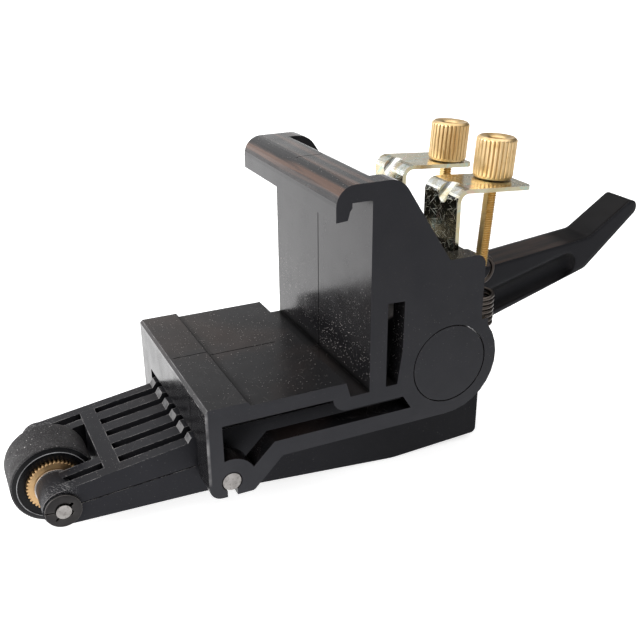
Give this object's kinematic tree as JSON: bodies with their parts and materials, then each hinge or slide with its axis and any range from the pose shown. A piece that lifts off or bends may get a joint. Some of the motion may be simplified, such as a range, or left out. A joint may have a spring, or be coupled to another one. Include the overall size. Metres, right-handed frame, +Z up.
{
  "type": "spring-loaded pinch roller assembly",
  "caption": "Clip-on pinch roller assembly: a pivoting arm with a rubber roller, pulled down by adjustable springs and lifted by a lever and cam.",
  "frame": {"origin": "on the front face of the rail wall, on the mid-plane, level with the top of the box deck", "axes": "+X from the roller end to the lever end, +Y along the roller's axle, +Z up from the deck towards the thumb nuts"},
  "size_m": [0.2033, 0.0616, 0.0922],
  "materials": {
    "black_housing": "black moulded engineering plastic, satin, rubbed and dusty",
    "black_arm": "black moulded engineering plastic, fine grain",
    "black_lever": "black moulded engineering plastic, smooth satin",
    "rubber": "dark grey rubber, matte",
    "brass": "turned and knurled brass",
    "steel": "ground steel pin",
    "zinc": "zinc-plated sheet steel with a faint yellow passivation",
    "spring_steel": "dark drawn spring wire"
  },
  "bodies": {
    "frame": {"housing": "black_housing", "pivot_pin": "steel", "bracket_left": "zinc", "bracket_right": "zinc"},
    "lever": {"lever_cam": "black_lever", "journal_left": "black_housing", "journal_right": "black_housing"},
    "arm": {"roller_arm": "black_arm", "axle_pin": "steel", "axle_washer_left": "steel", "axle_washer_right": "steel", "axle_retainer_left": "black_arm", "axle_retainer_right": "black_arm", "spring_left": "spring_steel", "spring_right": "spring_steel"},
    "roller": {"roller_tyre": "rubber", "roller_hub": "brass"},
    "rod_left": {"threaded_rod_left": "brass"},
    "rod_right": {"threaded_rod_right": "brass"},
    "nut_left": {"thumb_nut_left": "brass"},
    "nut_right": {"thumb_nut_right": "brass"}
  },
  "joints": [
    {"name": "lever_turn", "type": "hinge", "parent": "frame", "child": "lever", "pos_m": [0.0251, 0, -0.0013], "axis": [0, -1, 0], "range_deg": [0, 60]},
    {"name": "arm_swing", "type": "hinge", "parent": "frame", "child": "arm", "pos_m": [-0.0397, 0, -0.021], "axis": [0, 1, 0], "range_deg": [0, 5], "deforming": ["spring_left", "spring_right"]},
    {"name": "roller_spin", "type": "hinge", "parent": "arm", "child": "roller", "pos_m": [-0.0808, 0, -0.0243], "axis": [0, 1, 0], "continuous": true},
    {"name": "rod_left_slide", "type": "slide", "parent": "frame", "child": "rod_left", "axis": [0.0732, 0, 0.9973], "range_m": [-0.0021, 0.0021]},
    {"name": "rod_right_slide", "type": "slide", "parent": "frame", "child": "rod_right", "axis": [0.0732, 0, 0.9973], "range_m": [-0.0021, 0.0021]},
    {"name": "nut_left_turn", "type": "hinge", "parent": "frame", "child": "nut_left", "pos_m": [0.0487, -0.0118, 0.04408], "axis": [0.0732, 0, 0.9973], "range_deg": [-1080, 1080]},
    {"name": "nut_right_turn", "type": "hinge", "parent": "frame", "child": "nut_right", "pos_m": [0.0487, 0.0118, 0.04408], "axis": [0.0732, 0, 0.9973], "range_deg": [-1080, 1080]}
  ],
  "couplings": [
    {"joint": "arm_swing", "follows": "lever_turn", "ratio": 0.083333},
    {"joint": "rod_left_slide", "follows": "nut_left_turn", "m_per_rad": 0.00011141},
    {"joint": "rod_right_slide", "follows": "nut_right_turn", "m_per_rad": 0.00011141}
  ]
}
